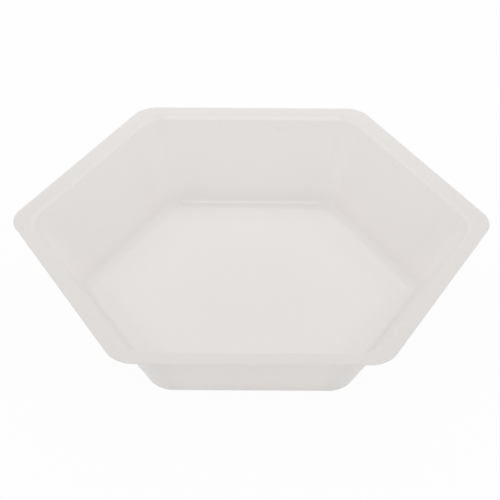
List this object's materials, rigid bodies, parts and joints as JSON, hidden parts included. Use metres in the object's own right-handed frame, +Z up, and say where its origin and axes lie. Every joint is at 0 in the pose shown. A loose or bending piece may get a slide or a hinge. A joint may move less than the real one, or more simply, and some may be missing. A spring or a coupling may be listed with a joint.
{
  "type": "weighing boat",
  "caption": "Shallow hexagonal weighing boat: a thin formed tray with a level flange, leaning walls and a flat floor.",
  "frame": {"origin": "centre of the underside of the floor, on the surface that the boat stands on", "axes": "+Z up out of the open top, +X towards one corner of the rim, +Y towards one side of the rim"},
  "size_m": [0.1146, 0.101, 0.0224],
  "materials": {
    "polystyrene": "satin white polystyrene sheet, faintly translucent, with a very fine grain"
  },
  "bodies": {
    "root": {"boat": "polystyrene"}
  },
  "joints": []
}
